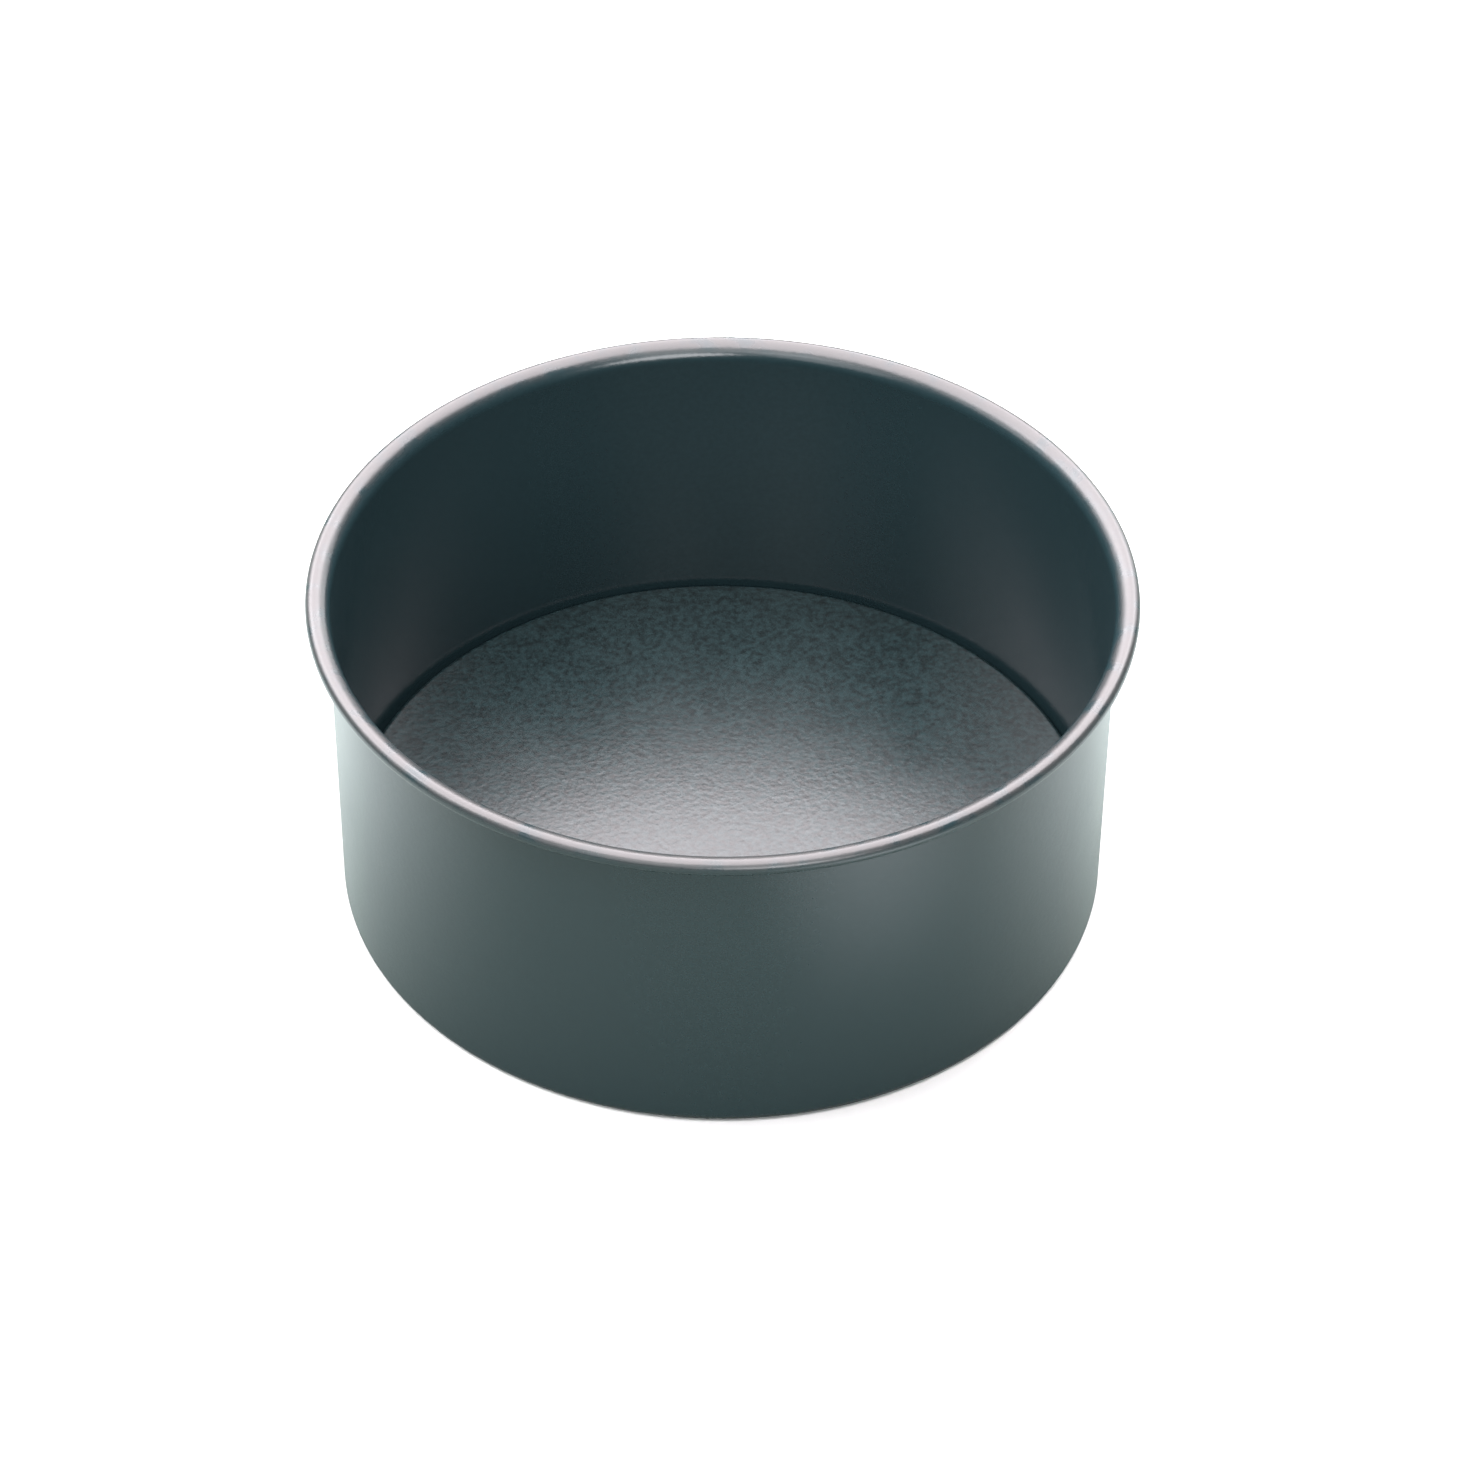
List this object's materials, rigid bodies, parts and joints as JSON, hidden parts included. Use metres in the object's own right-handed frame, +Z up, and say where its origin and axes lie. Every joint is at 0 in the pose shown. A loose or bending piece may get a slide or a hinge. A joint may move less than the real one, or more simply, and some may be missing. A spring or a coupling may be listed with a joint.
{
  "type": "round cake tin",
  "caption": "Deep round baking tin: seamless coated wall with a rolled rim and an inward foot ledge, and a loose push-up base that stands on the ledge by its skirt.",
  "frame": {"origin": "on the tin's axis, in the plane that the foot of the wall stands on", "axes": "+Z up along the tin's axis, out of its mouth; the tin is a body of revolution, so X and Y are free"},
  "size_m": [0.2128, 0.2128, 0.093],
  "materials": {
    "wall_coating": "satin dark grey non-stick coating on carbon steel sheet, fine even grain",
    "base_coating": "satin dark grey non-stick coating on carbon steel sheet, fine speckle"
  },
  "bodies": {
    "tin": {"tin_wall": "wall_coating"},
    "base": {"loose_base": "base_coating"}
  },
  "joints": [
    {"name": "base_push_up", "type": "slide", "parent": "tin", "child": "base", "axis": [0, 0, 1], "range_m": [0, 0.11]}
  ]
}
